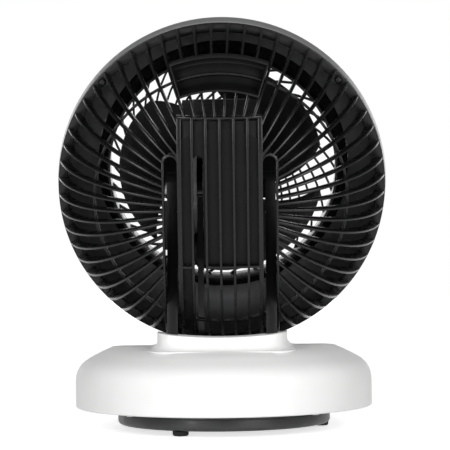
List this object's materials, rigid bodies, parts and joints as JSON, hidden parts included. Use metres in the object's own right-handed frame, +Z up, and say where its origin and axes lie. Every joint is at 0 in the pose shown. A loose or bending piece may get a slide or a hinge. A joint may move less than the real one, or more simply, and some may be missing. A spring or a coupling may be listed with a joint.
{
  "type": "desktop air circulator fan",
  "caption": "Air circulator fan: a bowl-shaped head with spiral front guard and finned rear dome tilts on two arms over a round base that swings on a low foot.",
  "frame": {"origin": "on the table, on the axis that the base swings about", "axes": "+Z up, the air blows towards -Y, the rear guard faces +Y, +X to the fan's own left seen from its front"},
  "size_m": [0.2864, 0.256, 0.3554],
  "materials": {
    "black_plastic": "satin",
    "gloss_black_plastic": "gloss",
    "grey_plastic": "satin",
    "white_plastic": "satin",
    "soft_rubber": "matt",
    "steel": "zinc plated",
    "gear_plastic": "satin",
    "circuit_board": "solder mask",
    "clear_lens": "clear"
  },
  "bodies": {
    "foot": {"foot_plate": "black_plastic", "rubber_foot_1": "soft_rubber", "rubber_foot_2": "soft_rubber", "rubber_foot_3": "soft_rubber", "swing_gear": "gear_plastic", "thrust_ring": "gear_plastic", "pivot_washer": "steel", "pivot_screw": "steel", "power_jack": "black_plastic"},
    "base": {"base_shell": "white_plastic", "base_floor": "white_plastic", "arm_left": "black_plastic", "arm_right": "black_plastic", "tilt_sector": "gloss_black_plastic", "swing_motor": "steel", "floor_screw_1": "steel", "floor_screw_2": "steel", "floor_screw_3": "steel", "floor_screw_4": "steel", "arm_screw_1": "steel", "arm_screw_2": "steel", "arm_screw_3": "steel", "arm_screw_4": "steel", "arm_screw_5": "steel", "control_panel": "gloss_black_plastic", "indicator_lens": "clear_lens", "control_board": "circuit_board"},
    "swing_pinion": {"swing_pinion": "gear_plastic"},
    "head": {"rear_guard": "black_plastic", "carry_handle": "black_plastic", "front_shroud": "grey_plastic", "front_guard": "black_plastic", "motor_housing": "black_plastic", "cable_duct": "black_plastic", "motor_plate": "steel", "motor_can": "steel", "pivot_pin_left": "steel", "pivot_pin_right": "steel", "tilt_motor": "steel", "guard_screw_1": "steel", "guard_screw_2": "steel", "guard_screw_3": "steel", "guard_screw_4": "steel"},
    "tilt_pinion": {"tilt_pinion": "gear_plastic"},
    "blade": {"motor_shaft": "steel", "fan_blade": "gloss_black_plastic", "blade_nut": "black_plastic"},
    "button_1": {"button_1": "gloss_black_plastic"},
    "button_2": {"button_2": "gloss_black_plastic"},
    "button_3": {"button_3": "gloss_black_plastic"},
    "button_4": {"button_4": "gloss_black_plastic"},
    "button_5": {"button_5": "gloss_black_plastic"}
  },
  "joints": [
    {"name": "swing", "type": "hinge", "parent": "foot", "child": "base", "pos_m": [0, 0, 0], "axis": [0, 0, 1], "range_deg": [-40, 40]},
    {"name": "head_tilt", "type": "hinge", "parent": "base", "child": "head", "pos_m": [0, 0.011, 0.2065], "axis": [-1, 0, 0], "range_deg": [-6, 79]},
    {"name": "blade_spin", "type": "hinge", "parent": "head", "child": "blade", "pos_m": [0, 0.011, 0.2065], "axis": [0, -0.9816, 0.1908], "continuous": true},
    {"name": "tilt_pinion_spin", "type": "hinge", "parent": "head", "child": "tilt_pinion", "pos_m": [0, 0.01844, 0.24478], "axis": [-1, 0, 0], "range_deg": [-21, 264]},
    {"name": "swing_pinion_spin", "type": "hinge", "parent": "base", "child": "swing_pinion", "pos_m": [0, -0.044, 0], "axis": [0, 0, 1], "range_deg": [-107, 107]},
    {"name": "button_1_press", "type": "slide", "parent": "base", "child": "button_1", "axis": [0, 0.1908, -0.9816], "range_m": [0, 0.001], "stiffness_N_per_m": 300},
    {"name": "button_2_press", "type": "slide", "parent": "base", "child": "button_2", "axis": [0, 0.1908, -0.9816], "range_m": [0, 0.001], "stiffness_N_per_m": 300},
    {"name": "button_3_press", "type": "slide", "parent": "base", "child": "button_3", "axis": [0, 0.1908, -0.9816], "range_m": [0, 0.001], "stiffness_N_per_m": 300},
    {"name": "button_4_press", "type": "slide", "parent": "base", "child": "button_4", "axis": [0, 0.1908, -0.9816], "range_m": [0, 0.001], "stiffness_N_per_m": 300},
    {"name": "button_5_press", "type": "slide", "parent": "base", "child": "button_5", "axis": [0, 0.1908, -0.9816], "range_m": [0, 0.001], "stiffness_N_per_m": 300}
  ],
  "couplings": [
    {"joint": "tilt_pinion_spin", "follows": "head_tilt", "ratio": 3.3333},
    {"joint": "swing_pinion_spin", "follows": "swing", "ratio": 2.6667}
  ]
}
